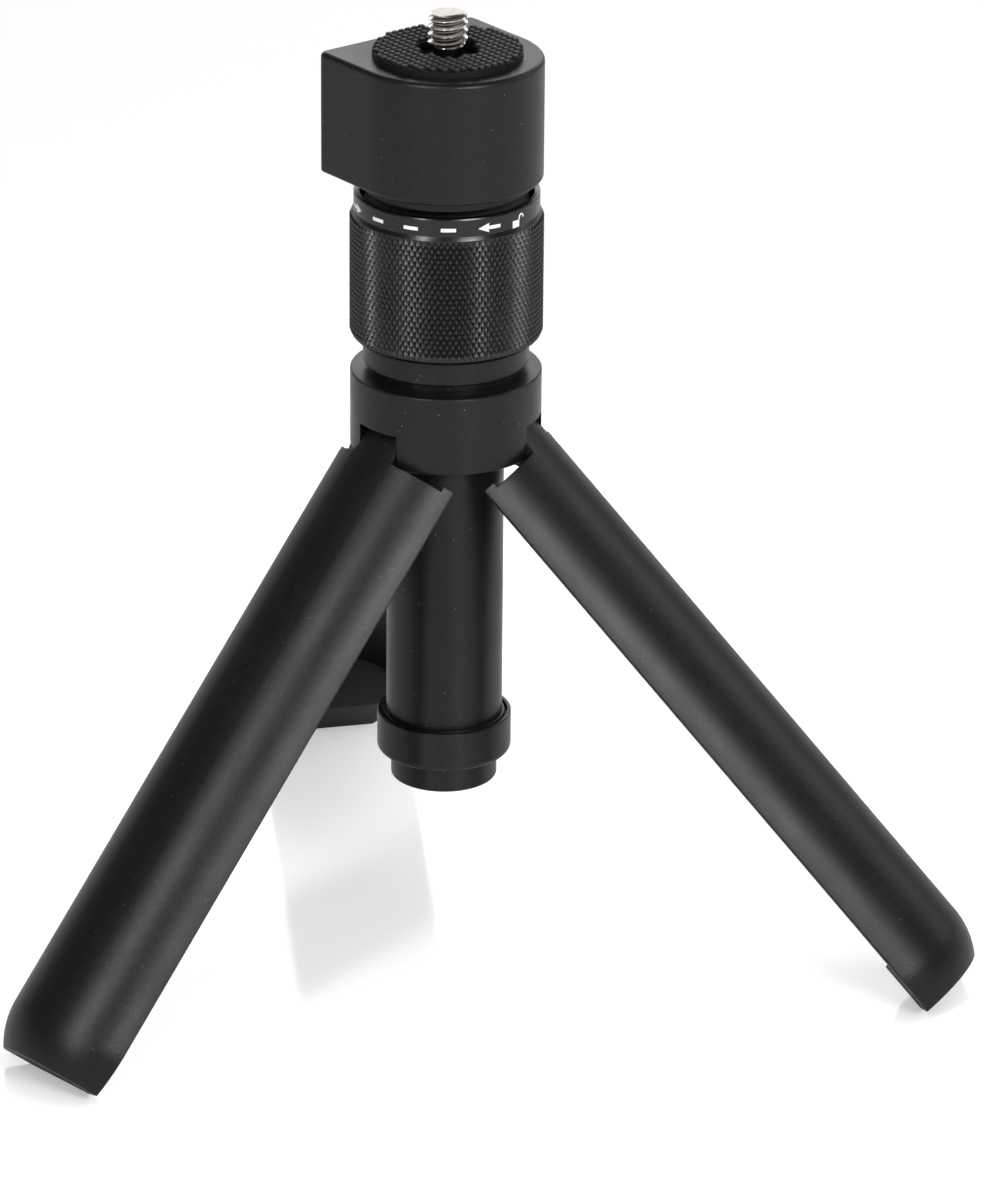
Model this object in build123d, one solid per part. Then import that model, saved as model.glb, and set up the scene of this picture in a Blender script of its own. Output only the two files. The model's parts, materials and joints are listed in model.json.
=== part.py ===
from build123d import *
import math
import os

# Folding mini tripod that closes into a hand grip, with a turning head and a 1/4 inch camera screw.
# The origin is on the grip's axis, on the plane that the three open legs stand on. +Z is up.
# Sizes are in millimetres and the legs are modelled open, at their stops.

# Legs
LEG_DIRECTIONS = {"left": -150.0, "right": -30.0, "rear": 90.0}  # angle of each leg from +X
SPREAD = 42.82  # angle of an open leg from the grip's axis
PIVOT_R = 12.2
PIVOT_Z = 88.5
LEG_LENGTH = 113.4  # from the pivot to the end of the foot
GRIP_R = 15.45
LEG_WALL = 1.8
LEG_HALF_ANGLE = 58.8
SHOULDER_DROP = 2.9  # shoulder below the pivot
SHOULDER_BEVEL = 0.8  # clears the hub's bottom edge as the leg swings
LIP_DROP = 2.0
LIP_ANGLE = 7.4
TOE_LENGTH = 7.5
TOE_R = 14.0
LEG_EDGE_R = 0.25
EAR_HALF = 4.1
EAR_R = 2.6
EAR_TOP = 2.75
EAR_DEPTH = 14.0  # how far the ear reaches down the wall
EAR_WAIST = 8.5
EAR_CORNER_R = 0.8
FOOT_DEPTH = 9.0
FOOT_INNER = 4.0  # distance of the foot's inner face from the grip's axis

# Hinges
PIN_R = 1.0
PIN_BORE_R = 1.05
PIN_HALF = 6.5
WASHER_R = 2.1
WASHER_RECESS_R = 2.3
WASHER_INNER = 3.65
NOTCH_HALF = 4.3
NOTCH_FLOOR = 9.3  # distance of the notch's inner wall from the grip's axis
NOTCH_TOP = 92.4

# Hub, column and end cap
HUB_BOTTOM = 86.7
HUB_RIM = 99.7
KEEPER_T = 0.8
KEEPER_R = 14.4
SPIGOT_R = 7.5
SPIGOT_TOP = 93.0
COLUMN_R = 9.5
COLUMN_BORE_R = 8.0
COLUMN_NECK_R = 5.9
CAP_R = 11.0
CAP_FOOT_R = 8.7
CAP_TOP = 39.5
CAP_STEP = 32.6
CAP_BOTTOM = 28.1
CAP_SEAT = 34.5

# Neck housing
REGISTER_BOTTOM = 97.0
REGISTER_R = 7.0
NECK_R = 12.1
LAND_R = 13.4
LAND_BOTTOM = 101.0
CAVITY_BOTTOM = 101.8
LAND_TOP = 111.0
THREAD_R = 12.2
HOUSING_TOP = 124.6
SEAT_R = 9.5
CAVITY_R = 8.2
O_RING_R = 12.55
O_RING_T = 0.9
O_RING_Z = 107.5
KEYWAY_BOTTOM = 120.6
KEYWAY_HALF = 2.0

# Bearings, spindle and tie bolt
BEARING_BOTTOMS = {"lower": 106.0, "upper": 118.0}
BEARING_H = 5.0
SHAFT_R = 5.0
INNER_RACE_R = 6.6
OUTER_RACE_R = 7.9
BALL_R = 1.2
BALL_PITCH_R = 7.25
BALL_COUNT = 11
RACE_GROOVE_R = 1.25
CIRCLIP_Z = 123.0
CIRCLIP_T = 0.8
SHOULDER_R = 6.5
SPINDLE_END_R = 4.0
SPINDLE_BOTTOM = 102.3
NUT_HALF = 5.0  # half the nut's width across its flats
NUT_T = 3.4
DISC_R = 13.5
DISC_BOTTOM = 130.4
BOLT_R = 3.0
BOLT_HEAD_R = 5.0
BOLT_HEAD_H = 6.0
BOLT_SOCKET_HALF = 2.5

# Lock collar and clamp
COLLAR_BOTTOM = 105.2
KNURL_R = 15.6
KNURL_TOP = 126.9
BAND_R = 14.9
COLLAR_TOP = 129.9
SKIRT_BORE_R = 13.5
THREAD_BORE_R = 12.3
POCKET_R = 13.9
POCKET_FLOOR = 125.35
CLAMP_BOTTOM = 125.4
CLAMP_TOP = 127.35
CLAMP_R = 13.5
CLAMP_BORE_R = 7.2
LUG_INNER = 10.4
LUG_OUTER = 12.0
LUG_BOTTOM = 121.0
LUG_HALF = 1.8
CLUTCH_TOP = 128.35

# Head
HEAD_DIRECTION = -65.55  # angle of the head's round end from +X
HEAD_BOTTOM = 132.2
HEAD_TOP = 152.2
HEAD_HALF = 15.4
HEAD_FLAT = 13.8  # distance of the flat face from the head's axis
HEAD_CORNER_R = 1.4
HEAD_EDGE_R = 0.8
HEAD_FOOT_R = 0.5
PAD_R = 12.0
PAD_T = 1.4
PAD_HOLE_HALF = 4.8
POCKET_DEPTH = 1.8
LOCK_NUT_HALF = 4.6
LOCK_NUT_T = 1.5
HEAD_SCREW_R = 1.5
HEAD_SCREW_PITCH_R = 9.5
HEAD_SCREW_TOP = 139.0
HEAD_SCREW_SINK = 1.5  # depth of the countersink

# Camera screw, 1/4-20 UNC
STUD_R = 3.175
STUD_ROOT_R = 2.4
STUD_FOOT_R = 3.0
STUD_BOTTOM = 141.0
STUD_NECK_TOP = 154.0
STUD_TOP = 159.15
STUD_CHAMFER = 0.45


def turned(*corners):
    """A solid of revolution about Z; each corner is (radius, height) or (radius, height, rounding)."""
    points = [(corner[0], corner[1]) for corner in corners]
    roundings = [corner[2] if len(corner) > 2 else 0 for corner in corners]
    outline = FilletPolyline(*points, radius=roundings, close=True)
    return revolve(make_face(Plane.XZ * outline), Axis.Z)


def ring(outer, inner, bottom, top):
    return turned((inner, bottom), (outer, bottom), (outer, top), (inner, top))


def rod(radius, bottom, top):
    return Pos(0, 0, bottom) * extrude(Circle(radius), top - bottom)


def hexagon(half_width, bottom, top):
    return Pos(0, 0, bottom) * extrude(RegularPolygon(half_width, 6, major_radius=False), top - bottom)


def block(low, high):
    """A box between two opposite corners."""
    size = [b - a for a, b in zip(low, high)]
    middle = [(a + b) / 2 for a, b in zip(low, high)]
    return Pos(*middle) * Box(*size)


def cross_rod(radius, half_length):
    """A rod across a leg that points along +X, centred on the hinge axis."""
    return Pos(PIVOT_R, 0, PIVOT_Z) * Rot(90, 0, 0) * Cylinder(radius, 2 * half_length)


def around(shape):
    """Three copies of a shape made for a leg along +X, one at each leg."""
    return [Rot(0, 0, angle) * shape for angle in LEG_DIRECTIONS.values()]


def sector(radius, half_angle, bottom, top):
    """A wedge about +X that reaches from the axis to the radius."""
    reach = radius / math.cos(math.radians(half_angle / 2)) ** 2
    edge = math.radians(half_angle)
    side = reach * math.cos(edge), reach * math.sin(edge)
    outline = Polyline((0, 0), (side[0], -side[1]), (reach, -side[1]), (reach, side[1]), side, close=True)
    return Pos(0, 0, bottom) * extrude(make_face(outline), top - bottom)


# Leg, made closed along +X and then swung open

LEG_END = PIVOT_Z - LEG_LENGTH


def leg_wall():
    """The curved wall of a leg, with its end drawn in to a rounded toe."""
    inner = GRIP_R - LEG_WALL
    top = PIVOT_Z - LIP_DROP
    toe = LEG_END + TOE_LENGTH
    centre = GRIP_R - TOE_R
    drop = math.degrees(math.asin(TOE_LENGTH / TOE_R))
    inner_drop = math.degrees(math.asin(TOE_LENGTH / (TOE_R - LEG_WALL)))
    outer_arc = CenterArc((centre, toe), TOE_R, -drop, drop)
    inner_arc = CenterArc((centre, toe), TOE_R - LEG_WALL, -inner_drop, inner_drop)
    straight = Polyline(outer_arc @ 1, (GRIP_R, top), (inner, top), inner_arc @ 1)
    end = Line(inner_arc @ 0, outer_arc @ 0)
    outline = make_face(Plane.XZ * (outer_arc + straight + inner_arc + end))
    wall = revolve(Rot(0, 0, -LEG_HALF_ANGLE) * outline, Axis.Z, 2 * LEG_HALF_ANGLE)
    sides = wall.edges().filter_by(Axis.Z)
    outer_sides = [edge for edge in sides if math.hypot((edge @ 0).X, (edge @ 0).Y) > GRIP_R - 0.1]
    end_arc = [edge for edge in wall.edges().filter_by_position(Axis.Z, LEG_END - 0.1, LEG_END + 0.1)
               if math.hypot((edge @ 0).X, (edge @ 0).Y) > inner - 0.9]
    return fillet(outer_sides + end_arc, LEG_EDGE_R)


def leg_ear():
    """The hinge tab that runs up from the wall into the hub's notch."""
    outer = GRIP_R - PIVOT_R
    inner = GRIP_R - LEG_WALL - PIVOT_R
    heel = -EAR_R / math.sqrt(2)
    arm = Polyline((0, EAR_R), (outer - 0.75, EAR_TOP), (outer, EAR_TOP - 0.65),
                   (outer + 1, -EAR_DEPTH), (inner, -EAR_DEPTH), (inner - 0.2, -EAR_WAIST),
                   (heel, heel), (0, 0), close=True)
    outline = Circle(EAR_R) + make_face(arm)
    flat = extrude(Plane.XZ * outline, EAR_HALF, both=True)
    ear = Pos(PIVOT_R, 0, PIVOT_Z) * flat
    return ear & rod(GRIP_R, PIVOT_Z - 2 * EAR_DEPTH, PIVOT_Z + EAR_DEPTH)


def leg_shell():
    shoulder_z = PIVOT_Z - SHOULDER_DROP
    inner = GRIP_R - LEG_WALL
    bevelled = inner + SHOULDER_BEVEL
    shell = leg_wall() - turned((0, shoulder_z - SHOULDER_BEVEL), (inner, shoulder_z - SHOULDER_BEVEL),
                                (bevelled, shoulder_z), (bevelled, PIVOT_Z), (0, PIVOT_Z))
    shoulder = sector(GRIP_R + 1, LEG_HALF_ANGLE - LIP_ANGLE, shoulder_z, PIVOT_Z)
    reach = 2 * EAR_HALF
    kept = FilletPolyline((-reach, shoulder_z - 1), (reach, shoulder_z - 1), (reach, shoulder_z),
                          (EAR_HALF, shoulder_z), (EAR_HALF, PIVOT_Z + 1), (-EAR_HALF, PIVOT_Z + 1),
                          (-EAR_HALF, shoulder_z), (-reach, shoulder_z),
                          radius=[0, 0, 0, EAR_CORNER_R, 0, 0, EAR_CORNER_R, 0], close=True)
    shoulder = shoulder - extrude(Plane.YZ * make_face(kept), 2 * GRIP_R)
    shell = shell - shoulder + leg_ear()
    for side in (-1, 1):
        recess = Pos(0, side * (WASHER_INNER + EAR_HALF) / 2, 0)
        shell = shell - recess * cross_rod(WASHER_RECESS_R, (EAR_HALF - WASHER_INNER) / 2 + 0.05)
    return shell - cross_rod(PIN_BORE_R, EAR_HALF + 1)


def foot_plug():
    """The solid foot that fills the leg's end; its inner edge is what stands on the ground."""
    toe = LEG_END + TOE_LENGTH
    centre = GRIP_R - TOE_R
    radius = TOE_R - LEG_WALL
    drop = math.degrees(math.asin(TOE_LENGTH / radius))
    curve = CenterArc((centre, toe), radius, -drop, drop)
    top = LEG_END + FOOT_DEPTH
    sides = Polyline(curve @ 1, (GRIP_R - LEG_WALL, top), (0, top), (0, LEG_END), curve @ 0)
    outline = make_face(Plane.XZ * (curve + sides))
    plug = revolve(Rot(0, 0, -LEG_HALF_ANGLE) * outline, Axis.Z, 2 * LEG_HALF_ANGLE)
    return plug - block((-1, -GRIP_R, LEG_END - 1), (FOOT_INNER, GRIP_R, top + 1))


def opened(shape, direction):
    """Swing a closed leg's shape about its hinge to its stop, and turn it to its place."""
    swing = Pos(PIVOT_R, 0, PIVOT_Z) * Rot(0, -SPREAD, 0) * Pos(-PIVOT_R, 0, -PIVOT_Z)
    return Rot(0, 0, direction) * swing * shape


def standing(shape):
    """Level the tip that meets the ground."""
    reach = 2 * LEG_LENGTH
    return shape - block((-reach, -reach, -5), (reach, reach, 0))


# Hub group

def notches():
    return around(block((NOTCH_FLOOR, -NOTCH_HALF, HUB_BOTTOM - 1), (GRIP_R + 1, NOTCH_HALF, NOTCH_TOP)))


def hub():
    body = turned((0, HUB_BOTTOM), (GRIP_R, HUB_BOTTOM, 0.3), (GRIP_R, HUB_RIM, 0.35), (0, HUB_RIM))
    body = body - rod(SPIGOT_R, HUB_BOTTOM - 1, SPIGOT_TOP) - rod(BOLT_R, SPIGOT_TOP - 1, HUB_RIM)
    body = body - rod(REGISTER_R, REGISTER_BOTTOM, HUB_RIM + 1)
    body = body - rod(KEEPER_R, HUB_BOTTOM - 1, HUB_BOTTOM + KEEPER_T)
    for cut in notches():
        body = body - cut
    seat = cross_rod(PIN_R, PIN_HALF)
    slot = block((PIVOT_R - PIN_R, -PIN_HALF, HUB_BOTTOM), (PIVOT_R + PIN_R, PIN_HALF, PIVOT_Z))
    for cut in around(seat + slot):
        body = body - cut
    return body


def pin_keeper():
    plate = ring(KEEPER_R, SPIGOT_R, HUB_BOTTOM, HUB_BOTTOM + KEEPER_T)
    for cut in notches():
        plate = plate - cut
    return plate


def hinge_washers():
    """Two friction washers at each hinge, between the leg's ear and the notch's cheeks."""
    washer = cross_rod(WASHER_R, (NOTCH_HALF - WASHER_INNER) / 2) - cross_rod(PIN_R, 1)
    offset = (NOTCH_HALF + WASHER_INNER) / 2
    washers = []
    for side in (-1, 1):
        washers += around(Pos(0, side * offset, 0) * washer)
    return washers


def column_tube():
    return turned((COLUMN_BORE_R, CAP_SEAT), (COLUMN_R, CAP_SEAT), (COLUMN_R, HUB_BOTTOM),
                  (SPIGOT_R, HUB_BOTTOM), (SPIGOT_R, SPIGOT_TOP), (COLUMN_NECK_R, SPIGOT_TOP),
                  (COLUMN_NECK_R, HUB_BOTTOM - 3), (COLUMN_BORE_R, HUB_BOTTOM - 5))


def end_cap():
    groove = COLUMN_R + 0.8
    lip = COLUMN_R + 0.45
    floor = CAP_TOP - 0.8
    return turned((0, CAP_BOTTOM), (CAP_FOOT_R, CAP_BOTTOM, 0.4), (CAP_FOOT_R, CAP_STEP),
                  (CAP_R, CAP_STEP, 1.1), (CAP_R, CAP_TOP, 0.2), (groove, CAP_TOP, 0.1), (groove, floor),
                  (lip, floor), (lip, CAP_TOP, 0.1), (COLUMN_R, CAP_TOP), (COLUMN_R, CAP_SEAT), (0, CAP_SEAT))


def tie_bolt():
    """The socket-head bolt that ties the neck housing to the hub, driven from inside the column."""
    head_bottom = SPIGOT_TOP - BOLT_HEAD_H
    bolt = turned((0, head_bottom), (BOLT_HEAD_R, head_bottom, 0.4), (BOLT_HEAD_R, SPIGOT_TOP),
                  (BOLT_R, SPIGOT_TOP), (BOLT_R, CAVITY_BOTTOM), (0, CAVITY_BOTTOM))
    return bolt - hexagon(BOLT_SOCKET_HALF, head_bottom - 1, head_bottom + BOLT_HEAD_H / 2)


def neck_housing():
    body = turned((0, REGISTER_BOTTOM), (REGISTER_R, REGISTER_BOTTOM), (REGISTER_R, HUB_RIM),
                  (NECK_R, HUB_RIM), (NECK_R, LAND_BOTTOM), (LAND_R, LAND_BOTTOM, 0.45), (LAND_R, LAND_TOP, 0.2),
                  (THREAD_R, LAND_TOP), (THREAD_R, HOUSING_TOP, 0.2), (0, HOUSING_TOP))
    body = body - rod(BOLT_R, REGISTER_BOTTOM - 1, CAVITY_BOTTOM + 1)
    body = body - rod(CAVITY_R, CAVITY_BOTTOM, HOUSING_TOP + 1)
    for bottom in BEARING_BOTTOMS.values():
        body = body - rod(SEAT_R, bottom, bottom + BEARING_H)
    body = body - rod(SEAT_R + 0.1, CIRCLIP_Z, HOUSING_TOP + 1)
    body = body - ring(SEAT_R + 0.7, SEAT_R - 1, CIRCLIP_Z, CIRCLIP_Z + CIRCLIP_T + 0.05)
    body = body - Pos(0, 0, O_RING_Z) * Torus(O_RING_R, O_RING_T + 0.05)
    keyway = block((SEAT_R - 1, -KEYWAY_HALF, KEYWAY_BOTTOM), (THREAD_R + 1, KEYWAY_HALF, HOUSING_TOP + 1))
    for cut in around(keyway):
        body = body - cut
    return body


def collar_o_ring():
    return Pos(0, 0, O_RING_Z) * Torus(O_RING_R, O_RING_T)


# Bearings and spindle

def race_groove(bottom):
    return Pos(0, 0, bottom + BEARING_H / 2) * Torus(BALL_PITCH_R, RACE_GROOVE_R)


def outer_race(bottom):
    return ring(SEAT_R, OUTER_RACE_R, bottom, bottom + BEARING_H) - race_groove(bottom)


def inner_race(bottom):
    return ring(INNER_RACE_R, SHAFT_R, bottom, bottom + BEARING_H) - race_groove(bottom)


def balls(bottom):
    middle = bottom + BEARING_H / 2
    turns = [360 / BALL_COUNT * index for index in range(BALL_COUNT)]
    return [Rot(0, 0, turn) * Pos(BALL_PITCH_R, 0, middle) * Sphere(BALL_R) for turn in turns]


def bearing_circlip():
    clip = ring(SEAT_R + 0.65, SEAT_R - 0.9, CIRCLIP_Z, CIRCLIP_Z + CIRCLIP_T)
    gap = block((SEAT_R - 3, -2.5, CIRCLIP_Z - 1), (SEAT_R + 2, 2.5, CIRCLIP_Z + 2))
    return clip - Rot(0, 0, 30) * gap


def head_screw_places():
    return [Rot(0, 0, HEAD_DIRECTION + turn) * Pos(HEAD_SCREW_PITCH_R, 0, 0) for turn in (0, 120, 240)]


def head_screw():
    """A countersunk screw, driven upwards through the spindle's disc."""
    head_r = 2 * HEAD_SCREW_R
    screw = turned((0, DISC_BOTTOM), (head_r, DISC_BOTTOM), (HEAD_SCREW_R, DISC_BOTTOM + HEAD_SCREW_SINK),
                   (HEAD_SCREW_R, HEAD_SCREW_TOP), (0, HEAD_SCREW_TOP))
    return screw - hexagon(1.0, DISC_BOTTOM - 1, DISC_BOTTOM + 1)


def countersink():
    """The hole that a head screw leaves in the disc."""
    head_r = 2 * HEAD_SCREW_R
    return turned((0, DISC_BOTTOM - 1), (head_r, DISC_BOTTOM - 1), (head_r, DISC_BOTTOM),
                  (HEAD_SCREW_R, DISC_BOTTOM + HEAD_SCREW_SINK), (HEAD_SCREW_R, HEAD_BOTTOM + 1),
                  (0, HEAD_BOTTOM + 1))


def spindle():
    top = BEARING_BOTTOMS["upper"] + BEARING_H
    bottom = BEARING_BOTTOMS["lower"]
    body = turned((0, SPINDLE_BOTTOM), (SPINDLE_END_R, SPINDLE_BOTTOM, 0.4), (SPINDLE_END_R, bottom),
                  (SHAFT_R, bottom), (SHAFT_R, top), (SHOULDER_R, top), (SHOULDER_R, DISC_BOTTOM),
                  (DISC_R, DISC_BOTTOM, 0.3), (DISC_R, HEAD_BOTTOM), (0, HEAD_BOTTOM))
    for place in head_screw_places():
        body = body - place * countersink()
    return body


def spindle_nut():
    top = BEARING_BOTTOMS["lower"]
    return hexagon(NUT_HALF, top - NUT_T, top) - rod(SPINDLE_END_R, SPINDLE_BOTTOM - 1, top + 1)


# Lock collar and clamp

def lock_collar():
    skirt_top = LAND_TOP + 0.3
    return turned((SKIRT_BORE_R, COLLAR_BOTTOM, 0.2), (KNURL_R - 0.6, COLLAR_BOTTOM),
                  (KNURL_R, COLLAR_BOTTOM + 0.6), (KNURL_R, KNURL_TOP - 0.6), (BAND_R, KNURL_TOP),
                  (BAND_R, COLLAR_TOP, 0.25), (POCKET_R, COLLAR_TOP, 0.2), (POCKET_R, POCKET_FLOOR),
                  (THREAD_BORE_R, POCKET_FLOOR), (THREAD_BORE_R, skirt_top), (SKIRT_BORE_R, skirt_top))


def clamp_ring():
    """The ring that the collar lifts; its lugs slide in the housing's keyways, so it can't turn."""
    body = ring(CLAMP_R, CLAMP_BORE_R, CLAMP_BOTTOM, CLAMP_TOP)
    for lug in around(block((LUG_INNER, -LUG_HALF, LUG_BOTTOM), (LUG_OUTER, LUG_HALF, CLAMP_BOTTOM + 1))):
        body = body + lug
    return body


def clutch_pad():
    return ring(CLAMP_R - 0.3, CLAMP_BORE_R + 0.5, CLAMP_TOP, CLUTCH_TOP)


# Head

def head_block():
    """The D-shaped head: round in front, flat behind."""
    outline = Circle(HEAD_HALF) & Pos(HEAD_HALF, 0) * Rectangle(2 * HEAD_HALF, 4 * HEAD_HALF)
    outline += Pos(-HEAD_FLAT / 2, 0) * Rectangle(HEAD_FLAT, 2 * HEAD_HALF)
    body = Pos(0, 0, HEAD_BOTTOM) * extrude(outline, HEAD_TOP - HEAD_BOTTOM)
    corners = body.edges().filter_by(Axis.Z).sort_by(Axis.X)[:2]
    body = fillet(corners, HEAD_CORNER_R)
    body = fillet(body.faces().sort_by(Axis.Z)[-1].edges(), HEAD_EDGE_R)
    body = fillet(body.faces().sort_by(Axis.Z)[0].edges(), HEAD_FOOT_R)
    body = Rot(0, 0, HEAD_DIRECTION) * body
    body = body - hexagon(PAD_HOLE_HALF, HEAD_TOP - POCKET_DEPTH, HEAD_TOP + 1)
    body = body - rod(STUD_FOOT_R, STUD_BOTTOM, HEAD_TOP)
    for place in head_screw_places():
        body = body - place * rod(HEAD_SCREW_R, HEAD_BOTTOM - 1, HEAD_SCREW_TOP)
    return body


def grip_pad():
    disc = turned((0, HEAD_TOP), (PAD_R, HEAD_TOP), (PAD_R, HEAD_TOP + PAD_T, 0.2), (0, HEAD_TOP + PAD_T))
    return disc - hexagon(PAD_HOLE_HALF, HEAD_TOP - 1, HEAD_TOP + 2 * PAD_T)


def stud_lock_nut():
    bottom = HEAD_TOP - POCKET_DEPTH
    return hexagon(LOCK_NUT_HALF, bottom, bottom + LOCK_NUT_T) - rod(STUD_FOOT_R, bottom - 1, HEAD_TOP)


def camera_screw():
    neck_bottom = HEAD_TOP - 0.3
    return turned((0, STUD_BOTTOM), (STUD_FOOT_R, STUD_BOTTOM), (STUD_FOOT_R, neck_bottom),
                  (STUD_ROOT_R, neck_bottom), (STUD_ROOT_R, STUD_NECK_TOP), (STUD_R, STUD_NECK_TOP),
                  (STUD_R, STUD_TOP - STUD_CHAMFER), (STUD_R - STUD_CHAMFER, STUD_TOP), (0, STUD_TOP))


parts = {
    "hub": hub(),
    "pin_keeper": pin_keeper(),
    "hinge_washers": hinge_washers(),
    "column_tube": column_tube(),
    "end_cap": end_cap(),
    "tie_bolt": tie_bolt(),
    "neck_housing": neck_housing(),
    "collar_o_ring": collar_o_ring(),
    "bearing_circlip": bearing_circlip(),
    "spindle": spindle(),
    "spindle_nut": spindle_nut(),
    "bearing_spacer": ring(INNER_RACE_R - 0.3, SHAFT_R, BEARING_BOTTOMS["lower"] + BEARING_H,
                           BEARING_BOTTOMS["upper"]),
    "lock_collar": lock_collar(),
    "clamp_ring": clamp_ring(),
    "clutch_pad": clutch_pad(),
    "head_block": head_block(),
    "head_screws": [place * head_screw() for place in head_screw_places()],
    "stud_lock_nut": stud_lock_nut(),
    "camera_screw": camera_screw(),
    "grip_pad": grip_pad(),
}
for level, race_bottom in BEARING_BOTTOMS.items():
    parts[f"{level}_outer_race"] = outer_race(race_bottom)
    parts[f"{level}_inner_race"] = inner_race(race_bottom)
    parts[f"{level}_balls"] = balls(race_bottom)
for side, direction in LEG_DIRECTIONS.items():
    parts[f"{side}_leg_shell"] = standing(opened(leg_shell(), direction))
    parts[f"{side}_foot_plug"] = standing(opened(foot_plug(), direction))
    parts[f"{side}_hinge_pin"] = Rot(0, 0, direction) * cross_rod(PIN_R, PIN_HALF)

os.makedirs("parts", exist_ok=True)
for name, shape in parts.items():
    solids = shape if isinstance(shape, list) else [shape]
    solids = [solid for piece in solids for solid in piece.solids()]
    export_step(Compound(children=solids), f"parts/{name}.step")
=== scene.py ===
import json
import math

import bmesh
import bpy
from mathutils import Matrix, Vector


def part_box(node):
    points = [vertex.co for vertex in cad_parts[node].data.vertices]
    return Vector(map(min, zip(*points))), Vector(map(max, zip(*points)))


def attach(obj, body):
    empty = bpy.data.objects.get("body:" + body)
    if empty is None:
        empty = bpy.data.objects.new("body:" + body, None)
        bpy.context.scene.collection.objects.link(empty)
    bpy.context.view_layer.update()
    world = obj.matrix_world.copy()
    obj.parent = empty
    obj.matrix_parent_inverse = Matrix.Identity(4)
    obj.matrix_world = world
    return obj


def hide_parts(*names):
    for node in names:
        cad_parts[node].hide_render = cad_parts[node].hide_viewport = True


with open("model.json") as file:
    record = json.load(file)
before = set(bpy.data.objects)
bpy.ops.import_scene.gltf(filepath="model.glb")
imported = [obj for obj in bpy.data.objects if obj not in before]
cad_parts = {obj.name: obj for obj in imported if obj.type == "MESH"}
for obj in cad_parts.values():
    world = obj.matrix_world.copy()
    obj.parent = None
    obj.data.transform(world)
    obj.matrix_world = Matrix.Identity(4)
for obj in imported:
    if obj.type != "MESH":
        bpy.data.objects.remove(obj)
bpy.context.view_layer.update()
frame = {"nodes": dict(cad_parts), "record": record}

MM = 0.001

# Heights and radii of the pieces that are remade here, read from the frame
screw_low, screw_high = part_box("camera_screw")
pad_low, pad_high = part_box("grip_pad")
collar_low, collar_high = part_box("lock_collar")

HEAD_TURN = math.radians(-65.55)  # the way the head's round end points

# Camera screw, 1/4-20 UNC
THREAD_R = screw_high.x
THREAD_PITCH = 1.27 * MM
THREAD_DEPTH = 0.74 * MM
SCREW_TOP = screw_high.z
SCREW_NECK_R = 2.35 * MM
SCREW_THREAD_BOTTOM = SCREW_TOP - 5.3 * MM
SCREW_FOOT_R = 3.0 * MM

# Rubber pad
PAD_R = pad_high.x
PAD_BASE_T = 0.95 * MM
STUD_PITCH = 1.3 * MM
STUD_GAP = 0.12 * MM  # from a cell's edge to its stud
STUD_SLOPE = 0.3 * MM  # how far a stud's sides lean in
HOLE_HALF = 4.8 * MM

# Lock collar
KNURL_R = collar_high.x
KNURL_DEPTH = 0.36 * MM
KNURL_COUNT = 98
KNURL_ROWS = 12
COLLAR_BOTTOM = collar_low.z
COLLAR_TOP = collar_high.z
KNURL_TOP = COLLAR_TOP - 3.0 * MM
BAND_R = 14.9 * MM
SKIRT_BORE_R = 13.5 * MM
POCKET_R = 13.9 * MM
POCKET_DEPTH = 4.55 * MM
THREAD_BORE_R = 12.3 * MM
SKIRT_DEPTH = 6.1 * MM
MARK_DROP = 0.35 * MM
PRINT_T = 0.025 * MM

EDGE_R = 0.18 * MM  # softening of the machined edges

# Brightness of the room, near the floor and overhead
HORIZON = 0.85
CEILING = 0.12
FLOOR_LIFT = 0.3  # glow that lifts the floor to plain white

AIM_HEIGHT = 0.08  # the point that the lights face, above the floor

FRONT_TURN = math.radians(-13.33)  # the side that faces the camera, about Z

# Camera and light

def add_camera():
    """A long lens, looking slightly down at the tripod."""
    pan, tilt, roll = 0.0077, 0.3993, 0.0085
    forward = Vector((math.sin(pan) * math.cos(tilt), math.cos(pan) * math.cos(tilt), -math.sin(tilt)))
    side = Vector((math.cos(pan), -math.sin(pan), 0))
    above = side.cross(forward)
    right = math.cos(roll) * side + math.sin(roll) * above
    up = math.cos(roll) * above - math.sin(roll) * side
    axes = Matrix((right, up, -forward)).transposed().to_4x4()
    data = bpy.data.cameras.new("camera")
    data.lens = 202.15
    data.sensor_width = 36
    data.clip_end = 20
    camera = bpy.data.objects.new("camera", data)
    bpy.context.collection.objects.link(camera)
    distance, height = 1.014056, 0.486653
    place = Matrix.Translation((0, -distance, height))
    camera.matrix_world = Matrix.Rotation(FRONT_TURN, 4, "Z") @ place @ axes
    bpy.context.scene.camera = camera


def soft_box(name, way, reach, size, brightness, along=(0, 0, 1)):
    """A rectangular light that faces the tripod from a direction, its second side laid along a vector."""
    data = bpy.data.lights.new(name, "AREA")
    data.shape = "RECTANGLE"
    data.size, data.size_y = size
    data.energy = 4 * size[0] * size[1] * brightness
    light = bpy.data.objects.new(name, data)
    bpy.context.collection.objects.link(light)
    back = Vector(way).normalized()
    side = Vector(along).cross(back).normalized()
    light.location = Vector((0, 0, AIM_HEIGHT)) + reach * back
    light.rotation_euler = Matrix((side, back.cross(side), back)).transposed().to_euler()
    return light


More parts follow.
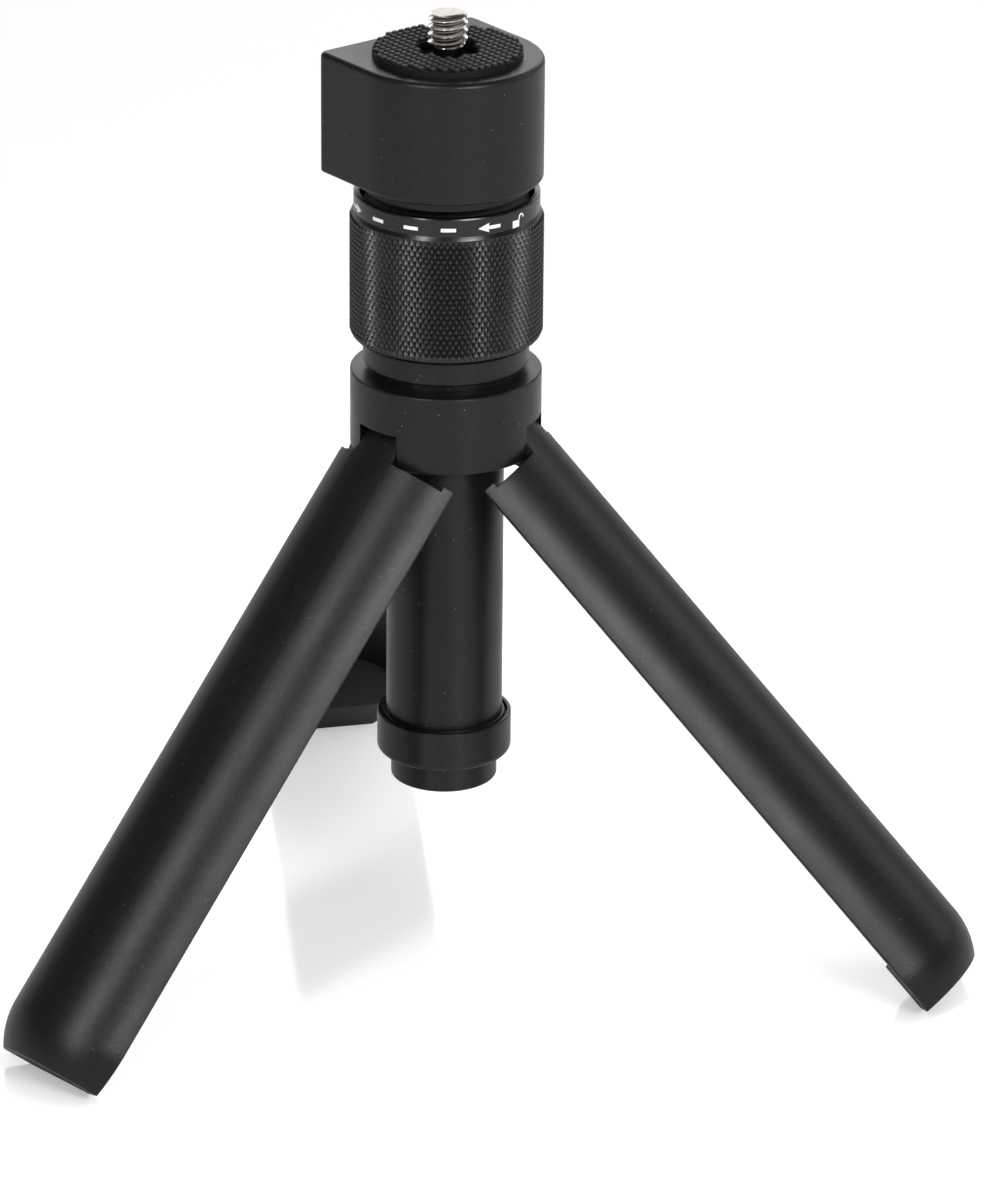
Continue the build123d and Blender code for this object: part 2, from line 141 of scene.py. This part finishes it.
def studio():
    """A dim room with a bright horizon, and soft boxes in front, at the right, behind and overhead."""
    world = bpy.data.worlds.new("studio")
    world.use_nodes = True
    tree = world.node_tree
    way = tree.nodes.new("ShaderNodeTexCoord")
    parts = tree.nodes.new("ShaderNodeSeparateXYZ")
    fade = tree.nodes.new("ShaderNodeMapRange")
    fade.inputs["From Max"].default_value = 0.2
    fade.inputs["To Min"].default_value = HORIZON
    fade.inputs["To Max"].default_value = CEILING
    tree.links.new(way.outputs["Generated"], parts.inputs["Vector"])
    tree.links.new(parts.outputs["Z"], fade.inputs["Value"])
    tree.links.new(fade.outputs["Result"], tree.nodes["Background"].inputs["Strength"])
    tree.nodes["Background"].inputs["Color"].default_value = (1, 1, 1, 1)
    bpy.context.scene.world = world
    soft_box("box_front_right", (0.24, -0.845, 0.475), 1.3, (0.45, 0.32), 16.0)
    soft_box("box_front_left", (-0.58, -0.6, 0.6), 1.1, (0.11, 0.8), 16.0)
    soft_box("box_right", (0.85, 0.1, 0.45), 1.2, (0.5, 0.5), 1.4)
    soft_box("box_behind", (0.21, 0.89, 0.39), 1.1, (1.2, 0.4), 1.7)
    overhead = soft_box("box_overhead", (0.6, -0.2, 1), 1.3, (1.6, 1.6), 1.1, along=(0, 1, 0))
    overhead.visible_glossy = False
    bpy.context.scene.view_settings.view_transform = "Standard"


def add_floor(material):
    bm = bmesh.new()
    bmesh.ops.create_grid(bm, x_segments=1, y_segments=1, size=4)
    new = to_object("floor", bm, material)


# Materials

def new_material(name, colour, roughness, metallic=0.0, specular=0.5):
    material = bpy.data.materials.new(name)
    material.use_nodes = True
    shader = material.node_tree.nodes["Principled BSDF"]
    shader.inputs["Base Color"].default_value = (*colour, 1)
    shader.inputs["Roughness"].default_value = roughness
    shader.inputs["Metallic"].default_value = metallic
    shader.inputs["Specular IOR Level"].default_value = specular
    return material, shader


def node(material, kind, **values):
    new = material.node_tree.nodes.new(kind)
    for key, value in values.items():
        if hasattr(new, key):
            setattr(new, key, value)
        else:
            new.inputs[key].default_value = value
    return new


def link(material, source, output, target, socket):
    material.node_tree.links.new(source.outputs[output], target.inputs[socket])


def remap(material, low, high, to_low=0.0, to_high=1.0):
    """A node that maps the range from low to high onto another one."""
    names = ("From Min", "From Max", "To Min", "To Max")
    return node(material, "ShaderNodeMapRange", **dict(zip(names, (low, high, to_low, to_high))))


def blend(material, first, second):
    """A node that mixes two colours."""
    return node(material, "ShaderNodeMix", data_type="RGBA", A=(*first, 1), B=(*second, 1))


def grain(material, shader, scale, strength, distance):
    """A fine bump that gives a satin surface its tooth."""
    place = node(material, "ShaderNodeTexCoord")
    noise = node(material, "ShaderNodeTexNoise", Scale=scale, Detail=3.0, Roughness=0.6)
    bump = node(material, "ShaderNodeBump", Strength=strength, Distance=distance)
    link(material, place, "Object", noise, "Vector")
    link(material, noise, "Fac", bump, "Height")
    link(material, bump, "Normal", shader, "Normal")
    return place, bump


def varied(material, shader, place, scale, socket, low, high):
    """Slow variation of one of the shader's values over the surface."""
    noise = node(material, "ShaderNodeTexNoise", Scale=scale, Detail=4.0, Roughness=0.55)
    spread = remap(material, 0.3, 0.7, low, high)
    link(material, place, "Object", noise, "Vector")
    link(material, noise, "Fac", spread, "Value")
    link(material, spread, "Result", shader, socket)


def specks(material, shader, place, base, fleck, scale, amount):
    """A dark colour with a fine grain of its own and sparse pale dust specks."""
    tooth = node(material, "ShaderNodeTexNoise", Scale=4300.0, Detail=2.0, Roughness=0.7)
    shade = remap(material, 0.35, 0.65)
    grainy = blend(material, [0.3 * part for part in base], [1.8 * part for part in base])
    cells = node(material, "ShaderNodeTexVoronoi", Scale=scale)
    near = node(material, "ShaderNodeMath", operation="LESS_THAN")
    near.inputs[1].default_value = amount
    mix = blend(material, base, fleck)
    link(material, place, "Object", tooth, "Vector")
    link(material, tooth, "Fac", shade, "Value")
    link(material, shade, "Result", grainy, "Factor")
    link(material, grainy, "Result", mix, "A")
    link(material, place, "Object", cells, "Vector")
    link(material, cells, "Distance", near, 0)
    link(material, near, "Value", mix, "Factor")
    link(material, mix, "Result", shader, "Base Color")


def black_anodised(name, roughness, tooth, dust):
    """Satin black with a fine tooth, a few dust specks and edges softened enough to catch the light."""
    black = (0.0048, 0.0048, 0.005)
    material, shader = new_material(name, black, roughness, specular=0.33)
    place, bump = grain(material, shader, 5200, tooth, 0.00003)
    edge = node(material, "ShaderNodeBevel", samples=4, Radius=EDGE_R)
    link(material, edge, "Normal", bump, "Normal")
    varied(material, shader, place, 90, "Roughness", roughness - 0.03, roughness + 0.04)
    specks(material, shader, place, black, (0.14, 0.14, 0.14), 480, dust)
    return material


def painted_shade_by_radius(material, shader, low, high, valley_shade, crest_light):
    """Blend a colour from the valleys at the low radius to the crests at the high one: painted shade in the
    valleys, painted light on the crests.
    """
    place = node(material, "ShaderNodeTexCoord")
    flat = node(material, "ShaderNodeVectorMath", operation="MULTIPLY")
    flat.inputs[1].default_value = (1, 1, 0)
    reach = node(material, "ShaderNodeVectorMath", operation="LENGTH")
    spread = remap(material, low, high)
    mix = blend(material, valley_shade, crest_light)
    link(material, place, "Object", flat, 0)
    link(material, flat, "Vector", reach, 0)
    link(material, reach, "Value", spread, "Value")
    link(material, spread, "Result", mix, "Factor")
    link(material, mix, "Result", shader, "Base Color")


def knurled_black():
    """Black anodising whose knurl is painted paler on its tips as painted light and darker in its valleys as
    painted shade.
    """
    material, shader = new_material("black_knurl", (0.005, 0.005, 0.005), 0.26, specular=0.5)
    place, _ = grain(material, shader, 5200, 0.2, 0.00002)
    varied(material, shader, place, 90, "Roughness", 0.22, 0.3)
    # Painted shade: near black in the knurl's valleys; painted light: paler on its tips.
    painted_shade_by_radius(material, shader, KNURL_R - 0.6 * KNURL_DEPTH, KNURL_R, (0.003,) * 3, (0.045,) * 3)
    return material


def threaded_steel():
    """Bright stainless steel, painted dark in the thread's valleys as painted shade and paler on its crests
    as painted highlight.
    """
    material, shader = new_material("threaded_steel", (0.7, 0.68, 0.65), 0.14, metallic=1.0)
    place, _ = grain(material, shader, 2600, 0.2, 0.00002)
    varied(material, shader, place, 900, "Roughness", 0.15, 0.24)
    # Painted shade in the thread's valleys, painted highlight on its crests.
    painted_shade_by_radius(material, shader, THREAD_R - 0.75 * THREAD_DEPTH, THREAD_R - 0.1 * THREAD_DEPTH,
                   (0.27, 0.25, 0.235), (0.88, 0.85, 0.82))
    return material


def studded_rubber():
    """Black rubber, painted paler on its stud tips as painted light and darker between the studs as painted
    shade.
    """
    material, shader = new_material("studded_rubber", (0.004, 0.004, 0.004), 0.55, specular=0.3)
    place, _ = grain(material, shader, 3500, 0.4, 0.00004)
    varied(material, shader, place, 160, "Roughness", 0.5, 0.62)
    # Painted light on the stud tips, painted shade on the base between the studs, blended by height.
    parts = node(material, "ShaderNodeSeparateXYZ")
    spread = remap(material, pad_high.z - 0.3 * MM, pad_high.z)
    mix = blend(material, (0.0025,) * 3, (0.03,) * 3)
    link(material, place, "Object", parts, "Vector")
    link(material, parts, "Z", spread, "Value")
    link(material, spread, "Result", mix, "Factor")
    link(material, mix, "Result", shader, "Base Color")
    return material


def turned_metal(name, colour, roughness):
    """Bright machined metal with faint turning marks around Z."""
    material, shader = new_material(name, colour, roughness, metallic=1.0)
    place = node(material, "ShaderNodeTexCoord")
    wave = node(material, "ShaderNodeTexWave", wave_type="BANDS", bands_direction="Z",
                Scale=300.0, Distortion=1.5, Detail=2.0)
    bump = node(material, "ShaderNodeBump", Strength=0.08, Distance=0.00002)
    link(material, place, "Object", wave, "Vector")
    link(material, wave, "Fac", bump, "Height")
    link(material, bump, "Normal", shader, "Normal")
    varied(material, shader, place, 700, "Roughness", roughness - 0.05, roughness + 0.08)
    return material


def dark_rubber(name, colour, roughness):
    material, shader = new_material(name, colour, roughness, specular=0.35)
    place, _ = grain(material, shader, 3500, 0.4, 0.00004)
    varied(material, shader, place, 160, "Roughness", roughness - 0.06, roughness + 0.06)
    return material


def white_paint():
    material, shader = new_material("white_paint", (0.82, 0.82, 0.82), 0.5)
    place, _ = grain(material, shader, 6000, 0.15, 0.00001)
    varied(material, shader, place, 900, "Roughness", 0.45, 0.6)
    return material


def friction_lining():
    material, shader = new_material("friction_lining", (0.05, 0.045, 0.04), 0.8)
    place, _ = grain(material, shader, 1800, 0.6, 0.0001)
    varied(material, shader, place, 500, "Roughness", 0.7, 0.9)
    return material


def floor_finish():
    """White acrylic, slightly glossy, with a glow that only the camera sees."""
    material, shader = new_material("floor", (0.86, 0.86, 0.86), 0.1, specular=0.5)
    place, _ = grain(material, shader, 40, 0.01, 0.0002)
    varied(material, shader, place, 6, "Roughness", 0.08, 0.12)
    ray = node(material, "ShaderNodeLightPath")
    lift = node(material, "ShaderNodeMath", operation="MULTIPLY")
    lift.inputs[1].default_value = FLOOR_LIFT
    shader.inputs["Emission Color"].default_value = (1, 1, 1, 1)
    link(material, ray, "Is Camera Ray", lift, 0)
    link(material, lift, "Value", shader, "Emission Strength")
    return material


# Mesh helpers

def to_object(name, bm, material, sharp=None):
    """Turn a bmesh into an object, smooth except at edges sharper than the given angle in degrees."""
    bmesh.ops.recalc_face_normals(bm, faces=bm.faces)
    for face in bm.faces:
        face.smooth = sharp is not None
    if sharp is not None:
        limit = math.radians(sharp)
        for edge in bm.edges:
            edge.smooth = len(edge.link_faces) == 2 and edge.calc_face_angle(0) < limit
    mesh = bpy.data.meshes.new(name)
    bm.to_mesh(mesh)
    bm.free()
    mesh.materials.append(material)
    new = bpy.data.objects.new(name, mesh)
    bpy.context.collection.objects.link(new)
    return new


def spin_outline(bm, points, steps):
    """Spin an outline of (radius, height) points about Z into a solid."""
    verts = [bm.verts.new((radius, 0, height)) for radius, height in points]
    edges = [bm.edges.new(pair) for pair in zip(verts, verts[1:] + verts[:1])]
    bmesh.ops.spin(bm, geom=verts + edges, cent=(0, 0, 0), axis=(0, 0, 1), dvec=(0, 0, 0),
                   angle=2 * math.pi, steps=steps, use_merge=True, use_duplicate=False)
    bmesh.ops.remove_doubles(bm, verts=bm.verts, dist=1e-7)


# Camera screw

def limit_radius(verts, limit):
    """Draw in every vertex that lies outside the radius that limit gives for its height."""
    for vert in verts:
        radius = math.hypot(vert.co.x, vert.co.y)
        most = limit(vert.co.z)
        if radius > most:
            vert.co.x *= most / radius
            vert.co.y *= most / radius


def camera_screw():
    """The stud: a helical thread with a turned-down neck below it."""
    bm = bmesh.new()
    root = THREAD_R - THREAD_DEPTH
    mid = THREAD_R - THREAD_DEPTH / 2
    start = SCREW_THREAD_BOTTOM - 1.5 * THREAD_PITCH
    above_root, near_crest = root + 0.03 * MM, THREAD_R - 0.04 * MM
    profile = [(root, 0.0), (above_root, 0.1), (mid, 0.28), (near_crest, 0.43), (THREAD_R, 0.465),
               (THREAD_R, 0.535), (near_crest, 0.57), (mid, 0.72), (above_root, 0.9), (root, 1.0)]
    verts = [bm.verts.new((radius, 0, start + height * THREAD_PITCH)) for radius, height in profile]
    edges = [bm.edges.new(pair) for pair in zip(verts, verts[1:])]
    turns, steps = 7, 72
    bmesh.ops.spin(bm, geom=verts + edges, cent=(0, 0, 0), axis=(0, 0, 1),
                   dvec=(0, 0, THREAD_PITCH / steps), angle=2 * math.pi * turns, steps=steps * turns,
                   use_merge=False, use_duplicate=False)
    bmesh.ops.remove_doubles(bm, verts=bm.verts, dist=2e-6)
    for height, outer in ((SCREW_THREAD_BOTTOM, False), (SCREW_TOP, True)):
        cut = bmesh.ops.bisect_plane(bm, geom=bm.verts[:] + bm.edges[:] + bm.faces[:], dist=1e-7,
                                     plane_co=(0, 0, height), plane_no=(0, 0, 1),
                                     clear_outer=outer, clear_inner=not outer)
        rim = [item for item in cut["geom_cut"] if isinstance(item, bmesh.types.BMEdge)]
        bmesh.ops.contextual_create(bm, geom=rim)
    for band in (0.2, 0.45, 0.7):
        bmesh.ops.bisect_plane(bm, geom=bm.verts[:] + bm.edges[:] + bm.faces[:], dist=1e-7,
                               plane_co=(0, 0, SCREW_TOP - band * MM), plane_no=(0, 0, 1))
    top_r, run_in_r = THREAD_R - 0.36 * MM, SCREW_NECK_R + 0.15 * MM
    limit_radius(bm.verts, lambda height: top_r + 1.1 * max(0.0, SCREW_TOP - height - 0.06 * MM))
    limit_radius(bm.verts, lambda height: run_in_r + 1.2 * (height - SCREW_THREAD_BOTTOM))
    foot_top = pad_low.z - 0.3 * MM
    spin_outline(bm, [(0, screw_low.z), (SCREW_FOOT_R, screw_low.z), (SCREW_FOOT_R, foot_top),
                      (SCREW_NECK_R, foot_top), (SCREW_NECK_R, SCREW_THREAD_BOTTOM + 0.2 * MM),
                      (0, SCREW_THREAD_BOTTOM + 0.2 * MM)], 48)
    screw = to_object("threaded_screw", bm, bright_thread, sharp=38)
    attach(screw, "head")
    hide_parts("camera_screw")


# Studded rubber pad

def hexagon_radius(angle, half_width):
    sector = math.pi / 3
    return half_width / math.cos((angle + sector / 2) % sector - sector / 2)


def studded_pad():
    """A rubber disc with an angular hole, covered with small pyramids."""
    bm = bmesh.new()
    segments = 120
    outer = bmesh.ops.create_circle(bm, segments=segments, radius=PAD_R)["verts"]
    inner = bmesh.ops.create_circle(bm, segments=segments, radius=HOLE_HALF)["verts"]
    for vert in inner:
        angle = math.atan2(vert.co.y, vert.co.x)
        vert.co *= hexagon_radius(angle, HOLE_HALF) / HOLE_HALF
    loops = [list({edge for vert in ring for edge in vert.link_edges}) for ring in (outer, inner)]
    bmesh.ops.bridge_loops(bm, edges=loops[0] + loops[1])
    base = bm.faces[:]
    raised = bmesh.ops.extrude_face_region(bm, geom=base)["geom"]
    bmesh.ops.translate(bm, verts=[item for item in raised if isinstance(item, bmesh.types.BMVert)],
                        vec=(0, 0, PAD_BASE_T))
    stud_height = pad_high.z - pad_low.z - PAD_BASE_T
    cells = 2 * math.ceil(PAD_R / STUD_PITCH) + 2
    grid = bmesh.ops.create_grid(bm, x_segments=cells, y_segments=cells, size=cells * STUD_PITCH / 2)["verts"]
    bmesh.ops.translate(bm, verts=grid, vec=(0, 0, PAD_BASE_T))
    squares = {face for vert in grid for face in vert.link_faces}
    lost = []
    for face in squares:
        centre = face.calc_center_median()
        radius = math.hypot(centre.x, centre.y)
        if radius > PAD_R - 0.15 * MM or radius < hexagon_radius(math.atan2(centre.y, centre.x), HOLE_HALF):
            lost.append(face)
    bmesh.ops.delete(bm, geom=lost, context="FACES")
    squares = [face for face in squares if face.is_valid]
    bmesh.ops.inset_individual(bm, faces=squares, thickness=STUD_GAP, depth=0)
    bmesh.ops.inset_individual(bm, faces=squares, thickness=STUD_SLOPE, depth=stud_height)
    for vert in bm.verts:
        radius = math.hypot(vert.co.x, vert.co.y)
        if radius > PAD_R - 0.02 * MM and vert.co.z > PAD_BASE_T - 0.01 * MM:
            vert.co.x *= (PAD_R - 0.04 * MM) / radius
            vert.co.y *= (PAD_R - 0.04 * MM) / radius
    bmesh.ops.rotate(bm, verts=bm.verts, cent=(0, 0, 0), matrix=Matrix.Rotation(HEAD_TURN, 3, "Z"))
    bmesh.ops.translate(bm, verts=bm.verts, vec=(0, 0, pad_low.z))
    pad = to_object("studded_pad", bm, pad_studs, sharp=35)
    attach(pad, "head")
    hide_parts("grip_pad")


# Knurled lock collar

def knurled_collar():
    """The collar, with a diamond knurl of small pyramids between two plain bevels."""
    bm = bmesh.new()
    low = COLLAR_BOTTOM + 0.7 * MM
    high = KNURL_TOP - 0.65 * MM
    low_r = KNURL_R - KNURL_DEPTH
    rows = 2 * KNURL_ROWS
    knurl = [(low_r, low + (high - low) * row / rows) for row in range(rows + 1)]
    points = [(SKIRT_BORE_R, COLLAR_BOTTOM + 0.15 * MM), (SKIRT_BORE_R + 0.15 * MM, COLLAR_BOTTOM),
              (low_r - 0.75 * MM, COLLAR_BOTTOM), (low_r - 0.6 * MM, COLLAR_BOTTOM + 0.05 * MM)]
    points += knurl
    points += [(BAND_R + 0.06 * MM, KNURL_TOP - 0.1 * MM), (BAND_R, KNURL_TOP),
               (BAND_R, COLLAR_TOP - 0.28 * MM),
               (BAND_R - 0.08 * MM, COLLAR_TOP - 0.08 * MM), (BAND_R - 0.28 * MM, COLLAR_TOP),
               (POCKET_R + 0.15 * MM, COLLAR_TOP), (POCKET_R, COLLAR_TOP - 0.15 * MM),
               (POCKET_R, COLLAR_TOP - POCKET_DEPTH), (THREAD_BORE_R, COLLAR_TOP - POCKET_DEPTH),
               (THREAD_BORE_R, COLLAR_BOTTOM + SKIRT_DEPTH), (SKIRT_BORE_R, COLLAR_BOTTOM + SKIRT_DEPTH)]
    steps = 2 * KNURL_COUNT
    spin_outline(bm, points, steps)
    pitch = (high - low) / rows
    for vert in bm.verts:
        radius = math.hypot(vert.co.x, vert.co.y)
        if abs(radius - low_r) > 1e-6 or not low + 0.5 * pitch < vert.co.z < high - 0.5 * pitch:
            continue
        column = round(math.atan2(vert.co.y, vert.co.x) / (2 * math.pi) * steps)
        row = round((vert.co.z - low) / pitch)
        if (column + row) % 2:
            vert.co.x *= KNURL_R / low_r
            vert.co.y *= KNURL_R / low_r
    for face in bm.faces[:]:
        heights = [vert.co.z for vert in face.verts]
        knurled = min(heights) >= low - 0.1 * pitch and max(heights) <= high + 0.1 * pitch
        if not knurled or face.calc_center_median().xy.length < BAND_R:
            continue
        corners = list(face.verts)
        radii = [corner.co.xy.length for corner in corners]
        first = 0 if radii[0] + radii[2] < radii[1] + radii[3] else 1
        bmesh.utils.face_split(face, corners[first], corners[first + 2])
    collar = to_object("knurled_collar", bm, black_knurl, sharp=20)
    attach(collar, "collar")
    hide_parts("lock_collar")


# White marks on the collar's band

def mark_face(bm, points):
    return bm.faces.new([bm.verts.new((across * MM, up * MM, 0)) for across, up in points])


def dash(bm):
    half, thick = 1.2, 0.29
    mark_face(bm, [(-half, -thick), (half, -thick), (half, thick), (-half, thick)])


def arrow(bm, way):
    """An arrow that points to +X for way 1 and to -X for way -1."""
    points = [(-1.95, -0.28), (0.25, -0.28), (0.05, -0.78), (1.95, 0.0), (0.05, 0.78), (0.25, 0.28),
              (-1.95, 0.28)]
    mark_face(bm, [(way * across, up) for across, up in points][::way])


def padlock(bm, swing):
    """A padlock sign; swing moves its shackle to the side, which shows it open."""
    mark_face(bm, [(-0.75, -1.1), (0.75, -1.1), (0.75, 0.05), (-0.75, 0.05)])
    outer, inner, rise = 0.62, 0.36, 0.35
    arc = [math.pi * step / 12 for step in range(13)]
    outline = [(outer, 0.05)] + [(outer * math.cos(a), rise + outer * math.sin(a)) for a in arc]
    end = 0.05 if not swing else rise - 0.1
    outline += [(-outer, end), (-inner, end)]
    outline += [(inner * math.cos(a), rise + inner * math.sin(a)) for a in reversed(arc)] + [(inner, 0.05)]
    mark_face(bm, [(across * (-1 if swing else 1) + swing, up) for across, up in outline])


def wrap(bm, angle):
    """Wrap a flat mark around the band, centred at an angle from the front, and give it thickness."""
    for cut in range(-4, 5):
        bmesh.ops.bisect_plane(bm, geom=bm.verts[:] + bm.edges[:] + bm.faces[:], dist=1e-8,
                               plane_co=(cut * 0.5 * MM, 0, 0), plane_no=(1, 0, 0))
    bmesh.ops.triangulate(bm, faces=[face for face in bm.faces if len(face.verts) > 4])
    middle = (KNURL_TOP + COLLAR_TOP) / 2 - MARK_DROP
    for vert in bm.verts:
        turn = angle + vert.co.x / BAND_R
        height = middle + vert.co.y
        vert.co = Vector((BAND_R * math.sin(turn), -BAND_R * math.cos(turn), height))
    bmesh.ops.recalc_face_normals(bm, faces=bm.faces)
    for face in bm.faces:
        centre = face.calc_center_median()
        if face.normal.dot(Vector((centre.x, centre.y, 0))) < 0:
            face.normal_flip()
    raised = bmesh.ops.extrude_face_region(bm, geom=bm.faces[:])["geom"]
    grown = 1 + PRINT_T / BAND_R
    for item in raised:
        if isinstance(item, bmesh.types.BMVert):
            item.co.x *= grown
            item.co.y *= grown


def collar_marks():
    """Seven printed signs in a row: unlocked, three dashes between arrows, locked."""
    signs = [("open", 47.2), ("left", 27.0), ("dash", 1.0), ("dash", -22.4), ("dash", -47.0),
             ("right", -73.0), ("closed", -96.0)]
    whole = bmesh.new()
    for kind, degrees in signs:
        bm = bmesh.new()
        if kind == "dash":
            dash(bm)
        elif kind in ("left", "right"):
            arrow(bm, 1 if kind == "right" else -1)
        else:
            padlock(bm, 1.25 if kind == "open" else 0.0)
        wrap(bm, math.radians(degrees) + FRONT_TURN)
        mesh = bpy.data.meshes.new("mark")
        bm.to_mesh(mesh)
        bm.free()
        whole.from_mesh(mesh)
        bpy.data.meshes.remove(mesh)
    marks = to_object("collar_marks", whole, white_marks)
    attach(marks, "collar")


# Finishes

black_satin = black_anodised("black_satin", 0.36, 0.5, 0.05)
black_knurl = knurled_black()
leg_black = black_anodised("leg_black", 0.36, 0.8, 0.035)
stainless = turned_metal("stainless", (0.72, 0.69, 0.66), 0.22)
bearing_steel = turned_metal("bearing_steel", (0.7, 0.7, 0.72), 0.15)
plain_steel = turned_metal("plain_steel", (0.45, 0.45, 0.46), 0.35)
black_oxide = turned_metal("black_oxide", (0.06, 0.06, 0.065), 0.42)
pad_rubber = dark_rubber("pad_rubber", (0.010, 0.010, 0.010), 0.55)
pad_studs = studded_rubber()
bright_thread = threaded_steel()
foot_rubber = dark_rubber("foot_rubber", (0.02, 0.02, 0.02), 0.6)
lining = friction_lining()
white_marks = white_paint()

FINISH = {
    "black_aluminium": black_satin,
    "black_knurl": black_knurl,
    "black_plastic": leg_black,
    "black_rubber": pad_rubber,
    "foot_rubber": foot_rubber,
    "stainless": stainless,
    "bearing_steel": bearing_steel,
    "black_steel": black_oxide,
    "spring_steel": plain_steel,
    "friction_disc": lining,
}

add_camera()
studio()
add_floor(floor_finish())

for entry in frame["record"]["subparts"]:
    piece = frame["nodes"][entry["node"]]
    for place in range(len(piece.material_slots)):
        piece.material_slots[place].material = FINISH[entry["material_slot"]]

camera_screw()
studded_pad()
knurled_collar()
collar_marks()
